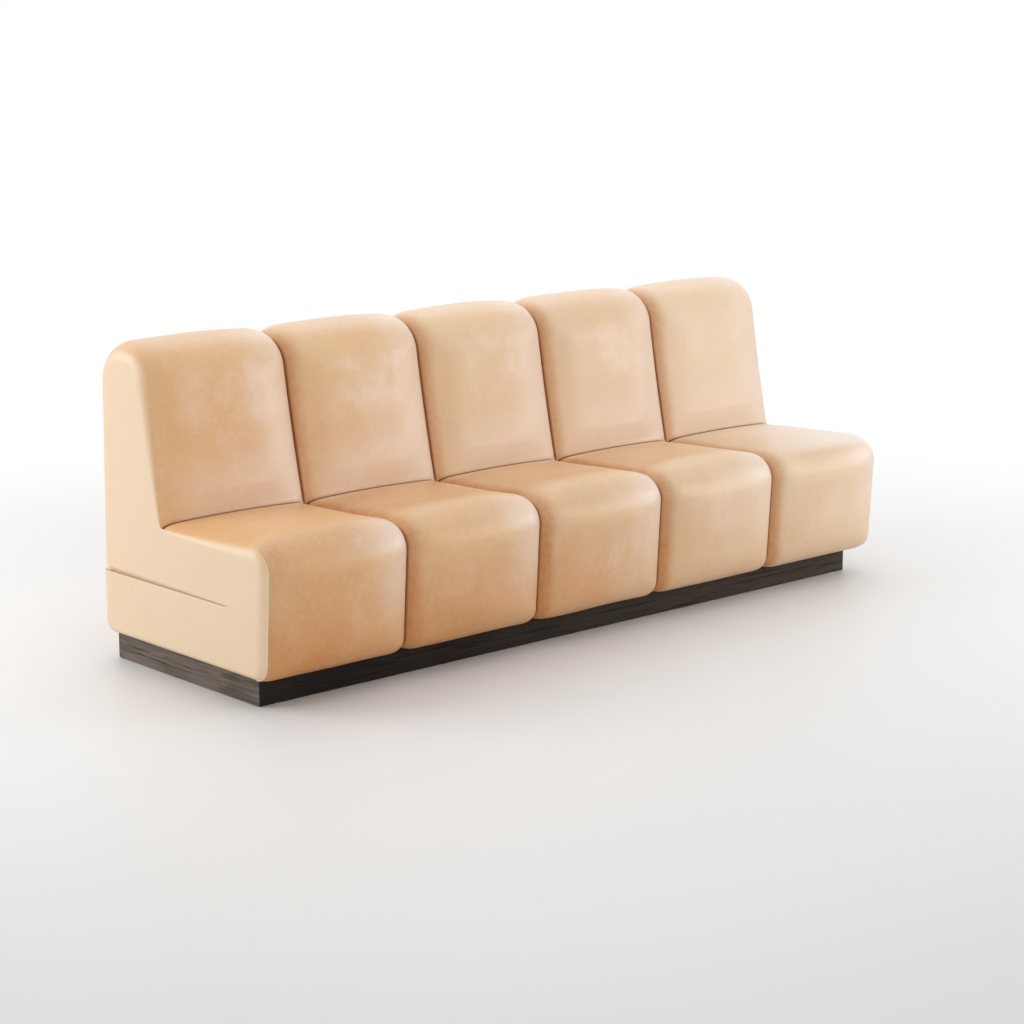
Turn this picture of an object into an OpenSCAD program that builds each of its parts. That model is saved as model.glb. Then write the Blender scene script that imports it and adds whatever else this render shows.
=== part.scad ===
// Upholstered banquette bench: a row of leather-covered seats bolted to one dark wooden plinth.
// X runs along the row, the seats face -Y, and Z is up. The origin lies on the floor at the
// middle of the row. All sizes are in millimetres, and all angles in degrees.

/* [Row] */
// Number of upholstered seats side by side
seat_count = 5; // [2:1:5]
// Width of one seat, joint to joint
seat_w = 500; // [460:5:600]
// Air left between the side panels of two neighbouring seats
seat_gap = 0.6; // [0.4:0.1:2]

/* [Side profile in the middle of a seat] */
// Height of the seat above the floor
seat_h = 476; // [440:2:510]
// Height of the backrest above the floor
back_h = 944; // [880:4:1040]
// Depth of the row, front to rear
body_d = 842; // [810:2:900]
// Depth of the seat, front to crease
seat_d = 497; // [470:1:510]
// Recline of the backrest's front from upright
recline = 8.6; // [6:0.2:11]
// Lean of the front below the seat's front edge
front_lean = 3.4; // [0:0.2:5]
// Lean of the rear above the tuck
rear_lean = 1.5; // [0:0.1:2.4]
// Radius of the bottom front edge
toe_r = 72; // [60:1:90]
// Radius of the seat's front edge
nose_r = 90; // [70:1:100]
// Radius of the backrest's top front edge
brow_r = 120; // [90:1:124]
// Radius of the backrest's top rear edge
crest_r = 128; // [90:1:132]
// Radius of the bottom rear edge
heel_r = 70; // [62:1:80]

/* [Padding] */
// Width of the rounded edge beside a side panel
edge_run = 64; // [50:1:75]
// Depth of the rounded edge beside a side panel
edge_drop = 50; // [40:1:55]
// Rise of a face from its rounded edges to its middle
crown = 5; // [1:0.5:8]
// Width of the rounding under a side panel
foot_run = 50; // [30:1:55]
// Height of the rounding under a side panel
foot_rise = 22; // [10:1:24]
// Depth of the crease between the seat and the back
crease_depth = 20; // [10:1:26]
// Height of the sewn tuck above the floor
tuck_h = 273; // [250:1:300]
// Depth of the tuck in the middle of a seat's rear
tuck_depth = 26; // [18:1:28]
// Length of the tuck along a side panel
tuck_run = 600; // [400:5:640]

/* [Cover] */
// Leather and wadding over the frame's corners
cover_t = 6; // [4:0.5:9]
// Leather and foam sheet on the side panels
side_t = 12; // [10:0.5:16]
// Leather and felt turned under the frame
lip_t = 3; // [2.5:0.25:5]
// Width of the leather turned under the frame
lip_w = 60; // [50:1:80]

/* [Foam] */
// Seat foam above the webbing
seat_foam_t = 85; // [70:1:110]
// Foam in front of the front board
apron_t = 30; // [24:1:40]
// Foam in front of the back webbing
back_foam_t = 80; // [60:1:90]
// Foam on top of the back frame
top_foam_t = 55; // [50:1:75]
// Foam on the rear
rear_foam_t = 17; // [16:1:24]

/* [Frame] */
// Plywood of the side frames and the boards
ply_t = 18; // [15:1:21]
// Thickness of the hardboard rear panels
panel_t = 4; // [3:0.5:6]
// Height of the solid wood rails
rail_h = 60; // [40:1:70]
// Thickness of the solid wood rails
rail_t = 22; // [18:1:30]
// Width of a webbing belt
belt_w = 50; // [40:1:60]
// Thickness of a webbing belt
belt_t = 2; // [1:0.5:2]

/* [Plinth] */
// Height of the plinth above the floor
plinth_h = 82; // [75:1:95]
// Thickness of the plinth boards
board_t = 22; // [18:1:28]
// Set-back of the plinth from the end panels
plinth_end_inset = 43; // [20:1:60]
// Set-back of the plinth from the front
plinth_front_inset = 119; // [100:1:130]
// Set-back of the plinth from the rear
plinth_rear_inset = 36; // [25:1:50]
// Width of a flat tie
tie_w = 90; // [70:1:120]
// Thickness of a flat tie
tie_t = 18; // [15:1:22]
// Height of the glides under the plinth
glide_t = 2; // [1.5:0.5:4]
// Radius of a glide
glide_r = 9; // [7:0.5:9]

/* [Fasteners] */
// Shank radius of the bolts that hold a seat down
bolt_r = 4; // [3:0.5:5]
// Shank radius of the wood screws
screw_r = 2; // [1.5:0.25:2.5]

/* [Hidden] */
// Clearances
fit = 0.3;
slip = 0.05;
over = 1;

// Cover
seat_body_w = seat_w - seat_gap;
row_w = seat_count * seat_w - seat_gap;
half_w = seat_body_w / 2;
front_y = -body_d / 2;
rear_y = body_d / 2;
rear_step = 5;
least_r = 4;
crease_w = 26;
crease_lean = 3;
tuck_w = 20;
tuck_lip = 7;
tuck_side = 8;
tuck_slope_share = 0.5;
slit_h = 2.4;
slit_depth = 9;
slit_end_depth = 2;
edge_steps = 5;
face_steps = 2;
corner_steps = 5;
heel_steps = 3;
roll_steps = 3;

// Frame
side_foot = foot_rise / 2;
void_w = seat_body_w - 2 * side_t;
frame_w = void_w - 2 * fit;
inner_w = frame_w - 2 * ply_t;
core = drop(side_t) + cover_t;
skin = core + fit;
base_z = plinth_h + lip_t;
side_z = plinth_h + side_foot + fit;
deck_z = seat_h - skin - seat_foam_t;
core_tuck = 12;
core_crease = 2;
batten_w = 22;
batten_h = 32;
kick_rise = 14;
heel_rise = 8;
seat_belts = 4;
cross_belts = 3;
back_belts = 3;
back_rail_foot = 40;

// Plinth
plinth_w = row_w - 2 * plinth_end_inset;
plinth_front = front_y + plinth_front_inset;
plinth_rear = rear_y - plinth_rear_inset;
cleat_t = 22;
cleat_h = 30;
block_side = 30;
glides_a_side = 5;
glide_end = 60;
glide_pin_r = 2.5;
glide_pin_l = 14;

// Fasteners
bolt_y_shares = [0.22, 0.82];
washer_r = 8;
washer_t = 1.6;
bolt_head_h = 5.3;
bolt_head_r = 7.5;
nut_wall = 1;
nut_flange_r = 11;
nut_flange_t = 1.5;
nut_l = 11;
screw_l = 40;
screw_head_r = 4;
screw_head_h = 2.4;

$fn = 14;

seat_names = ["1", "2", "3", "4", "5"];
seat_parts = ["cover", "seat_foam", "back_foam", "rear_pad", "side_frames", "base_board",
    "cross_rails", "rear_panels", "webbing"];

// Side view geometry. A line is [direction of its outward normal, distance from the origin
// along that normal]. Points are [y, z].
function unit(a) = [cos(a), sin(a)];
function line_at(a, p) = [a, unit(a) * p];
function level(z) = line_at(90, [0, z]);
function moved(l, d) = [l[0], l[1] + d];
function meet(l, m) =
    let (u = unit(l[0]), v = unit(m[0]), k = u[0] * v[1] - u[1] * v[0])
    [(l[1] * v[1] - m[1] * u[1]) / k, (u[0] * m[1] - v[0] * l[1]) / k];
function turn(a, b) = b - a > 180 ? b - a - 360 : b - a < -180 ? b - a + 360 : b - a;
function arc_of(l, m, r, steps) =
    let (c = meet(moved(l, -r), moved(m, -r)))
    [for (i = [0:steps]) c + r * unit(l[0] + turn(l[0], m[0]) * i / steps)];
function curve(a, b, c, steps) =
    [for (i = [0:steps]) let (t = i / steps)
        (1 - t) * (1 - t) * a + 2 * t * (1 - t) * b + t * t * c];
function tail(points) = [for (i = [1:len(points) - 1]) points[i]];

front_line = line_at(180 + front_lean, [front_y, seat_h - nose_r]);
seat_line = level(seat_h);
back_line = line_at(180 - recline, [front_y + seat_d, seat_h]);
top_line = level(back_h);
rear_line = line_at(rear_lean, [rear_y - rear_step, tuck_h]);
heel_line = line_at(0, [rear_y, tuck_h]);

// How far a face lies below its middle, at a distance s from the side panel: a quarter of an
// ellipse beside the panel, and a shallow crown across the face.
function quarter(s, run, rise) = s >= run ? 0 : rise * (1 - sqrt(1 - pow(1 - s / run, 2)));
function drop(s) = quarter(s, edge_run, edge_drop) + crown * pow(1 - s / half_w, 2);
function foot(s) = quarter(s, foot_run, foot_rise);

// Distances from the side panel at which the padding's rings lie.
ring_places = concat(
    [for (i = [0:edge_steps]) edge_run * (1 - cos(90 * i / edge_steps))],
    [for (i = [1:face_steps]) edge_run + (half_w - edge_run) * i / face_steps]);

// The crease: the seat and the back both roll down into it. It can be opened further by extra.
function crease(d, extra) =
    let (p = meet(moved(seat_line, -d), moved(back_line, -d)),
        tip = p + [crease_lean, -crease_depth - extra],
        up = unit(back_line[0] - 90))
    concat(
        curve(p - [crease_w + extra, 0], p - [crease_lean + extra, 0], tip, roll_steps),
        tail(curve(tip, p + up * crease_lean, p + up * crease_w, roll_steps)));

// The tuck: a sewn groove across the rear, with a soft lip above it and a crisp one below.
function tuck(d, depth) =
    let (tip = [rear_y - d - depth, tuck_h],
        above = meet(moved(rear_line, -d), level(tuck_h + tuck_w)),
        below = meet(moved(heel_line, -d), level(tuck_h - tuck_lip)))
    concat(
        curve(above, [above[0], tuck_h], tip, roll_steps),
        tail(curve(tip, [below[0], tuck_h], below, roll_steps)));
function tuck_at(d) = max(tuck_side, tuck_depth - tuck_slope_share * d);

// The side profile, moved inwards by d, with its underside at height z.
function profile(d, z, depth, extra = 0) =
    let (under = line_at(270, [0, z]), front = moved(front_line, -d),
        seat = moved(seat_line, -d), back = moved(back_line, -d),
        top = moved(top_line, -d), rear = moved(rear_line, -d), heel = moved(heel_line, -d))
    concat(
        arc_of(under, front, max(least_r, toe_r - d), corner_steps),
        arc_of(front, seat, nose_r - d, corner_steps),
        crease(d, extra),
        arc_of(back, top, brow_r - d, corner_steps),
        arc_of(top, rear, crest_r - d, corner_steps),
        tuck(d, depth),
        arc_of(heel, under, max(least_r, heel_r - d), heel_steps));

// Turns a shape drawn in the side view, [y, z], into a slab of width w across the seat.
module across(w) {
    translate([-w / 2, 0, 0])
        rotate([90, 0, 90])
            linear_extrude(height = w)
                children();
}

module at_seat(i) {
    translate([(i - (seat_count - 1) / 2) * seat_w, 0, 0])
        children();
}

module each_seat() {
    for (i = [0:seat_count - 1])
        at_seat(i)
            children();
}

// The padded body of a seat: the side profile lofted across the seat, ring by ring.
module padded_body() {
    last_place = len(ring_places) - 1;
    rings = [for (i = [-last_place:last_place])
        let (s = ring_places[last_place - abs(i)], x = sign(i) * (half_w - s), d = drop(s))
        [for (p = profile(d, plinth_h + foot(s), tuck_at(d))) [x, p[0], p[1]]]];
    n = len(rings[0]);
    last = len(rings) - 1;
    points = [for (r = rings) each r];
    walls = [for (r = [0:last - 1], j = [0:n - 1])
        let (a = r * n + j, b = r * n + (j + 1) % n, c = a + n, e = b + n)
        each [[a, b, e], [a, e, c]]];
    // Each cap is fanned from two points, one in the seat and one in the back.
    crease_tip = 2 * (corner_steps + 1) + roll_steps;
    tuck_tip = 4 * (corner_steps + 1) + 3 * roll_steps + 1;
    seat_edges = concat(
        [for (j = [0:crease_tip - 1]) [j, j + 1]],
        [[crease_tip, tuck_tip]],
        [for (j = [tuck_tip:n - 1]) [j, (j + 1) % n]]);
    back_edges = concat(
        [for (j = [crease_tip:tuck_tip - 1]) [j, j + 1]],
        [[tuck_tip, crease_tip]]);
    centres = [for (r = [rings[0], rings[last]]) each [
        [r[0][0], r[crease_tip][1], (r[0][2] + r[tuck_tip][2]) / 2],
        [r[0][0], (r[crease_tip][1] + r[tuck_tip][1]) / 2,
            (r[crease_tip][2] + r[crease_tip + roll_steps + corner_steps + 1][2]) / 2]]];
    c = len(points);
    f = last * n;
    caps = concat(
        [for (e = seat_edges) each [[c, e[1], e[0]], [c + 2, f + e[0], f + e[1]]]],
        [for (e = back_edges) each [[c + 1, e[1], e[0]], [c + 3, f + e[0], f + e[1]]]]);
    polyhedron(points = concat(points, centres), faces = concat(walls, caps), convexity = 6);
}

// The end of the tuck, cut along the side panel and fading out towards the front.
module side_slit() {
    start = rear_y - drop(0) - tuck_side / 2;
    translate([0, 0, tuck_h - slit_h / 2])
        linear_extrude(height = slit_h)
            polygon([
                [half_w + over, start],
                [half_w - slit_depth, start],
                [half_w - slit_end_depth, start - tuck_run],
                [half_w + over, start - tuck_run]]);
}

module cover() {
    color([0.87, 0.66, 0.45])
        difference() {
            padded_body();
            across(void_w)
                polygon(profile(core, plinth_h + side_foot, core_tuck));
            // Room for the base board, and the opening inside the leather turned under it
            translate([-inner_w / 2, kick_y - fit, base_z])
                cube([inner_w, heel_y - kick_y + 2 * fit, side_foot]);
            translate([-inner_w / 2 + lip_w - ply_t, kick_y + lip_w, plinth_h - over])
                cube([inner_w - 2 * (lip_w - ply_t), heel_y - kick_y - 2 * lip_w,
                    lip_t + side_foot]);
            side_slit();
            mirror([1, 0, 0])
                side_slit();
        }
}

// Everything under the cover stays inside this outline.
module core_outline() {
    polygon(profile(skin, side_z, core_tuck, core_crease));
}

// Lines of the wooden frame in the side view.
board_front = front_y + skin + apron_t;
frame_front = board_front + ply_t;
frame_back_line = moved(back_line, -skin - back_foam_t);
frame_top_line = moved(top_line, -skin - top_foam_t);
frame_rear_line = moved(rear_line, -skin - rear_foam_t);
frame_heel_line = moved(heel_line, -skin - rear_foam_t);
panel_rear_line = moved(frame_rear_line, -panel_t);
panel_heel_line = moved(frame_heel_line, -panel_t);
core_top = seat_h - skin;
kick_y = meet(moved(front_line, -skin), level(side_z))[0] + max(least_r, toe_r - skin);
heel_y = meet(moved(heel_line, -skin), level(side_z))[0] - max(least_r, heel_r - skin);
slope_foot = meet(frame_back_line, level(deck_z));
slope_top = meet(frame_back_line, frame_top_line);
slope_l = norm(slope_top - slope_foot);

module seat_foam() {
    color([0.93, 0.88, 0.7])
        across(frame_w)
            intersection() {
                core_outline();
                polygon([
                    [front_y, plinth_h],
                    [board_front, plinth_h],
                    [board_front, deck_z],
                    slope_foot,
                    meet(frame_back_line, level(core_top)),
                    [front_y, core_top]]);
            }
}

module back_foam() {
    under_z = core_top + fit;
    color([0.93, 0.88, 0.7])
        across(frame_w)
            difference() {
                intersection() {
                    core_outline();
                    translate([front_y, tuck_h + fit])
                        square([body_d, back_h]);
                }
                polygon([
                    [front_y, under_z],
                    meet(frame_back_line, level(under_z)),
                    slope_top,
                    meet(frame_top_line, frame_rear_line),
                    meet(frame_rear_line, level(tuck_h)),
                    [front_y, tuck_h]]);
            }
}

module rear_pad() {
    inner = meet(frame_heel_line, level(side_z))[0];
    color([0.93, 0.88, 0.7])
        across(frame_w)
            intersection() {
                core_outline();
                translate([inner, plinth_h])
                    square([rear_foam_t + over, tuck_h - fit - plinth_h]);
            }
}

// Outline of one plywood side frame.
function side_outline() =
    [[kick_y, side_z], [frame_front, side_z + kick_rise], [frame_front, deck_z],
        slope_foot, slope_top, meet(frame_top_line, panel_rear_line),
        meet(panel_rear_line, level(tuck_h)), meet(panel_heel_line, level(tuck_h)),
        meet(panel_heel_line, level(side_z + heel_rise)), [heel_y, side_z]];

module side_frames() {
    color([0.78, 0.63, 0.42])
        for (side = [-1, 1])
            translate([side * (frame_w - ply_t) / 2, 0, 0])
                across(ply_t)
                    polygon(side_outline());
}

module at_bolts(z) {
    for (share = bolt_y_shares)
        translate([0, plinth_front + share * (plinth_rear - plinth_front), z])
            children();
}

module base_board() {
    color([0.74, 0.59, 0.39])
        difference() {
            translate([-inner_w / 2 + fit, kick_y, base_z])
                cube([inner_w - 2 * fit, heel_y - kick_y, ply_t]);
            at_bolts(base_z - over)
                cylinder(r = bolt_r + slip + nut_wall + slip, h = ply_t + 2 * over);
        }
}

// Places children on the sloping front of the back frame: local z runs up the slope and local
// y runs into the back, from the point where the slope leaves the deck.
module on_back_slope() {
    translate([0, slope_foot[0], slope_foot[1]])
        rotate([-recline, 0, 0])
            children();
}

module cross_rails() {
    rail_top = deck_z - belt_t;
    color([0.82, 0.69, 0.47]) {
        // Front board, on the front edges of the side frames
        translate([-frame_w / 2, board_front, side_z + kick_rise])
            cube([frame_w, ply_t, deck_z - side_z - kick_rise]);
        // Seat rails
        for (y = [frame_front, slope_foot[0] - rail_t])
            translate([-inner_w / 2, y, rail_top - rail_h])
                cube([inner_w, rail_t, rail_h]);
        // Battens along the side frames
        for (side = [-1, 1])
            translate([side * (inner_w - batten_w) / 2 - batten_w / 2, frame_front + rail_t,
                rail_top - belt_t - batten_h])
                cube([batten_w, slope_foot[0] - 2 * rail_t - frame_front, batten_h]);
        // Back rails
        on_back_slope()
            for (z = [back_rail_foot, slope_l - rail_h - belt_t])
                translate([-inner_w / 2, belt_t, z])
                    cube([inner_w, rail_t, rail_h]);
    }
}

module rear_panels() {
    color([0.5, 0.38, 0.25])
        across(frame_w) {
            polygon([
                meet(frame_rear_line, level(tuck_h + fit)),
                meet(frame_rear_line, frame_top_line),
                meet(panel_rear_line, frame_top_line),
                meet(panel_rear_line, level(tuck_h + fit))]);
            polygon([
                meet(frame_heel_line, level(side_z + heel_rise)),
                meet(frame_heel_line, level(tuck_h - fit)),
                meet(panel_heel_line, level(tuck_h - fit)),
                meet(panel_heel_line, level(side_z + heel_rise))]);
        }
}

// The belts that carry the foam: front to back and side to side in the seat, and up the back.
module webbing() {
    run_y = slope_foot[0] - frame_front;
    span_y = run_y - 2 * rail_t;
    color([0.2, 0.19, 0.18]) {
        for (i = [1:seat_belts])
            translate([(i - (seat_belts + 1) / 2) * inner_w / seat_belts - belt_w / 2,
                frame_front, deck_z - belt_t])
                cube([belt_w, run_y, belt_t]);
        for (i = [1:cross_belts])
            translate([-inner_w / 2, frame_front + rail_t + (i - 0.5) * span_y / cross_belts
                - belt_w / 2, deck_z - 2 * belt_t])
                cube([inner_w, belt_w, belt_t]);
        on_back_slope()
            for (i = [1:back_belts])
                translate([(i - (back_belts + 1) / 2) * inner_w / back_belts - belt_w / 2, 0,
                    back_rail_foot])
                    cube([belt_w, belt_t, slope_l - back_rail_foot - belt_t]);
    }
}

// A long plinth board at y, with mitred ends. Its inner face lies towards inward, +1 or -1.
module long_board(y, inward) {
    color([0.14, 0.12, 0.11])
        difference() {
            translate([0, y, glide_t])
                linear_extrude(height = plinth_h - glide_t)
                    polygon([
                        [-plinth_w / 2, 0],
                        [plinth_w / 2, 0],
                        [plinth_w / 2 - board_t, inward * board_t],
                        [-plinth_w / 2 + board_t, inward * board_t]]);
            at_glides(y + inward * board_t / 2)
                cylinder(r = glide_pin_r, h = glide_t + glide_pin_l);
        }
}

module end_board(x, inward) {
    color([0.14, 0.12, 0.11])
        translate([x, 0, glide_t])
            linear_extrude(height = plinth_h - glide_t)
                polygon([
                    [0, plinth_front],
                    [0, plinth_rear],
                    [inward * board_t, plinth_rear - board_t],
                    [inward * board_t, plinth_front + board_t]]);
}

module at_glides(y) {
    run = plinth_w - 2 * glide_end;
    for (i = [0:glides_a_side - 1])
        translate([-run / 2 + i * run / (glides_a_side - 1), y, 0])
            children();
}

module glides() {
    color([0.85, 0.85, 0.82])
        for (y = [plinth_front + board_t / 2, plinth_rear - board_t / 2])
            at_glides(y) {
                cylinder(r = glide_r, h = glide_t);
                cylinder(r = glide_pin_r - slip, h = glide_t + glide_pin_l - over);
            }
}

module at_screws(z) {
    each_seat()
        for (y = [plinth_front + board_t + cleat_t / 2, plinth_rear - board_t - cleat_t / 2])
            translate([0, y, z])
                children();
}

// A cleat along each long board carries the ties.
module cleats() {
    color([0.8, 0.68, 0.47])
        difference() {
            for (y = [plinth_front + board_t, plinth_rear - board_t - cleat_t])
                translate([-plinth_w / 2 + board_t, y, plinth_h - tie_t - cleat_h])
                    cube([plinth_w - 2 * board_t, cleat_t, cleat_h]);
            at_screws(plinth_h - screw_l - over)
                cylinder(r = screw_r + slip, h = screw_l);
        }
}

// One flat tie under each seat, from front to rear, level with the tops of the plinth boards.
module ties() {
    color([0.8, 0.68, 0.47])
        difference() {
            each_seat()
                translate([-tie_w / 2, plinth_front + board_t, plinth_h - tie_t])
                    cube([tie_w, plinth_rear - plinth_front - 2 * board_t, tie_t]);
            at_screws(plinth_h - tie_t - over)
                cylinder(r = screw_r + slip, h = tie_t + 2 * over);
            at_screws(plinth_h - screw_head_h)
                cylinder(r1 = screw_r + slip, r2 = screw_head_r + slip, h = screw_head_h);
            each_seat()
                at_bolts(plinth_h - tie_t - over)
                    cylinder(r = bolt_r + slip, h = tie_t + 2 * over);
        }
}

module corner_blocks() {
    color([0.8, 0.68, 0.47])
        for (x = [-plinth_w / 2 + board_t, plinth_w / 2 - board_t - block_side],
            y = [plinth_front + board_t, plinth_rear - board_t - block_side])
            translate([x, y, glide_t])
                cube([block_side, block_side, plinth_h - tie_t - cleat_h - glide_t]);
}

module screws() {
    color([0.72, 0.7, 0.6]) {
        at_screws(plinth_h - screw_l)
            cylinder(r = screw_r, h = screw_l - screw_head_h);
        at_screws(plinth_h - screw_head_h)
            cylinder(r1 = screw_r, r2 = screw_head_r, h = screw_head_h);
    }
}

// The bolts come up through washer, tie and base board into the tee nuts.
washer_z = plinth_h - tie_t - washer_t;
nut_z = base_z + ply_t;

module bolts() {
    color([0.6, 0.6, 0.62])
        each_seat() {
            at_bolts(washer_z)
                cylinder(r = bolt_r, h = nut_z + nut_flange_t - washer_z);
            at_bolts(washer_z - bolt_head_h)
                cylinder(r = bolt_head_r, h = bolt_head_h, $fn = 6);
        }
}

module washers() {
    color([0.7, 0.7, 0.72])
        each_seat()
            difference() {
                at_bolts(washer_z)
                    cylinder(r = washer_r, h = washer_t);
                at_bolts(washer_z - over)
                    cylinder(r = bolt_r + slip, h = washer_t + 2 * over);
            }
}

module tee_nuts() {
    color([0.7, 0.68, 0.55])
        each_seat()
            difference() {
                union() {
                    at_bolts(nut_z - nut_l)
                        cylinder(r = bolt_r + slip + nut_wall, h = nut_l);
                    at_bolts(nut_z)
                        cylinder(r = nut_flange_r, h = nut_flange_t);
                }
                at_bolts(nut_z - nut_l - over)
                    cylinder(r = bolt_r + slip, h = nut_l + nut_flange_t + 2 * over);
            }
}

long_board(plinth_front, 1);  // plinth_front_board
long_board(plinth_rear, -1);  // plinth_rear_board
end_board(-plinth_w / 2, 1);  // plinth_left_board
end_board(plinth_w / 2, -1);  // plinth_right_board
cleats();  // plinth_cleats
ties();  // plinth_ties
corner_blocks();  // plinth_corner_blocks
screws();  // plinth_screws
glides();
bolts();  // seat_bolts
washers();
tee_nuts();
for (i = [0:seat_count - 1]) {
    at_seat(i) cover();
    at_seat(i) seat_foam();
    at_seat(i) back_foam();
    at_seat(i) rear_pad();
    at_seat(i) side_frames();
    at_seat(i) base_board();
    at_seat(i) cross_rails();
    at_seat(i) rear_panels();
    at_seat(i) webbing();
}
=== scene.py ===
"""Looks of an upholstered banquette: five leather seats on a dark oak plinth.

Lengths are in metres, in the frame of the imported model: X along the row, the seats face -Y,
Z up, and the origin on the floor under the middle of the row.
"""
import math
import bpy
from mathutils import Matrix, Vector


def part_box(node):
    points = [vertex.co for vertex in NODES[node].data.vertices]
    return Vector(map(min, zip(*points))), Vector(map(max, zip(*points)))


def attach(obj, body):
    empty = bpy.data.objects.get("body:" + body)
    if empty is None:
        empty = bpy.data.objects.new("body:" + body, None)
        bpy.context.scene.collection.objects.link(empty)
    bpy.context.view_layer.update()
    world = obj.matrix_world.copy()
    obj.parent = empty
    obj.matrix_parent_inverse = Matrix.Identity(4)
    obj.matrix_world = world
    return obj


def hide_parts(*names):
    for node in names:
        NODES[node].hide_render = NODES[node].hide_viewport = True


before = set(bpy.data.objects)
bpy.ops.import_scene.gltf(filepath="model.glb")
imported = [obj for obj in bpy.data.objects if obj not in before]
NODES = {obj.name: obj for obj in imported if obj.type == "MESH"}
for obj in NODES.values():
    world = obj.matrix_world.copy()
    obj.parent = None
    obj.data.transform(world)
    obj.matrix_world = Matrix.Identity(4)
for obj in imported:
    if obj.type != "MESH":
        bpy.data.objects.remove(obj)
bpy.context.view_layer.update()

from types import SimpleNamespace

import bmesh
import bpy
import numpy as np
from bpy.props import FloatProperty, FloatVectorProperty, PointerProperty
from bpy.types import Operator, Panel, PropertyGroup
from mathutils import Matrix, Vector, geometry

SEATS = sorted(name[-1] for name in NODES if name.startswith("cover_"))

bl_info = {
    "name": "Banquette bench looks",
    "version": (1, 0, 0),
    "blender": (4, 5, 0),
    "location": "View3D > Sidebar > Bench",
    "description": "Leather, foam, wood and metal for a packed banquette bench",
    "category": "Object",
}


# Sizes and colours


def length(name, description, default):
    return FloatProperty(
        name=name, description=description, default=default, min=0.0, max=2.0,
        subtype="DISTANCE", unit="LENGTH",
    )


def angle(name, description, degrees):
    return FloatProperty(
        name=name, description=description, default=math.radians(degrees), subtype="ANGLE"
    )


def colour(name, description, rgb):
    """A colour as it looks on a screen, from 0 to 255, kept as linear light."""
    return FloatVectorProperty(
        name=name, description=description, subtype="COLOR", size=3, min=0.0, max=1.0,
        default=[linear(c / 255) for c in rgb],
    )


def linear(c):
    return c / 12.92 if c <= 0.04045 else ((c + 0.055) / 1.055) ** 2.4


def power(name, description, watts):
    return FloatProperty(name=name, description=description, default=watts, min=0.0, unit="POWER")


class BENCH_PG_form(PropertyGroup):
    body_d: length("Depth", "Depth of the bench", 0.842)
    seat_w: length("Seat width", "Width of one place, joint to joint", 0.5)
    seat_h: length("Seat height", "Height of the seat in its middle", 0.476)
    seat_d: length("Seat depth", "Depth of the seat, front to crease", 0.497)
    rake: angle("Rake", "Slope of the seat down to the crease", 2.8)
    recline: angle("Recline", "Recline of the backrest from upright", 8.6)
    front_lean: angle("Front lean", "Lean of the front below the seat's edge", 3.4)
    rear_lean: angle("Rear lean", "Lean of the rear above the tuck", 1.5)
    toe_r: length("Toe radius", "Radius of the bottom front edge", 0.072)
    nose_r: length("Nose radius", "Radius of the seat's front edge", 0.090)
    brow_r: length("Brow radius", "Radius of the backrest's top front edge", 0.120)
    crest_r: length("Crest radius", "Radius of the backrest's top rear edge", 0.128)
    heel_r: length("Heel radius", "Radius of the bottom rear edge", 0.070)
    edge_run: length("Edge width", "Width of the rounded edge beside a side panel", 0.064)
    edge_drop: length("Edge depth", "Depth of the rounded edge beside a side panel", 0.050)
    crown: length("Crown", "Rise of a face from its edges to its middle, before it is filled", 0.008)
    foot_run: length("Foot width", "Width of the rounding under a side panel", 0.050)
    foot_rise: length("Foot height", "Height of the rounding under a side panel", 0.022)
    crease_depth: length("Crease depth", "Depth of the crease between seat and back", 0.020)
    crease_w: length("Crease roll", "Width of the roll at each side of the crease", 0.012)
    crease_blend: length("Crease end", "Width of the hollow at each end of the crease", 0.030)
    crease_run: length("Crease edge width", "Width of the rounded edge at the crease", 0.050)
    crease_drop: length("Crease edge depth", "Depth of that edge at the crease", 0.018)
    tuck_h: length("Tuck height", "Height of the sewn tuck", 0.273)
    tuck_depth: length("Tuck depth", "Depth of the tuck in the middle of the rear", 0.026)
    tuck_run: length("Tuck length", "Length of the tuck along a side panel", 0.600)
    seam_place: length("Seam place", "Distance of the seam from the side panel", 0.0155)
    seam_rise: length("Seam height", "How far the seam stands proud", 0.0022)
    seam_w: length("Seam width", "Half the width of the raised seam", 0.0026)
    lip_t: length("Turned thickness", "Thickness of the leather turned under", 0.003)
    swell: length("Swell", "The furthest that the filling moves the leather", 0.008)


class BENCH_PG_finish(PropertyGroup):
    leather: colour("Leather", "The hide of the first cover", (221, 173, 117))
    # Painted light: the pale colour of the lit side panels and of the seats towards the right end
    leather_lit_pale: colour("Pale leather", "The palest hide", (229, 205, 173))
    # Random deeper dye, and the painted shade beside the grooves and low on the fronts
    leather_dye_and_shade: colour("Deep leather", "Where the dye lies deeper", (200, 135, 72))
    # Random mottle of the hide, with the painted sheen and the painted highlight on the lip under
    # the slit
    leather_mottle_and_sheen: colour("Bloom", "Where the leather is polished and paler", (234, 206, 182))
    leather_glare: colour("Glare", "Where the leather shines at the right end", (243, 235, 228))
    # Small marks of the hide, and the painted shade of the grooves, crease, slit, noses and the
    # first seat's front
    leather_marks_and_shade: colour("Dark leather", "Grooves and small marks of the hide", (138, 66, 16))
    oak: colour("Stained oak", "The plinth between its pores", (38, 33, 30))
    oak_pore: colour("Oak pores", "Pores and dark grain of the plinth", (26, 23, 21))
    oak_light: colour("Oak light grain", "Light grain of the plinth", (112, 101, 90))
    pine: colour("Pine", "Rails, ties and blocks", (214, 178, 126))
    pine_ring: colour("Pine rings", "Late wood of the rails", (170, 122, 74))
    ply: colour("Plywood", "Birch plywood", (218, 188, 146))
    foam: colour("Foam", "Polyurethane foam", (236, 226, 190))
    hardboard: colour("Hardboard", "Hardboard rear panels", (112, 80, 52))
    webbing: colour("Webbing", "Elastic webbing", (52, 48, 44))
    glide: colour("Glides", "Nylon glides", (222, 220, 212))


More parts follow.
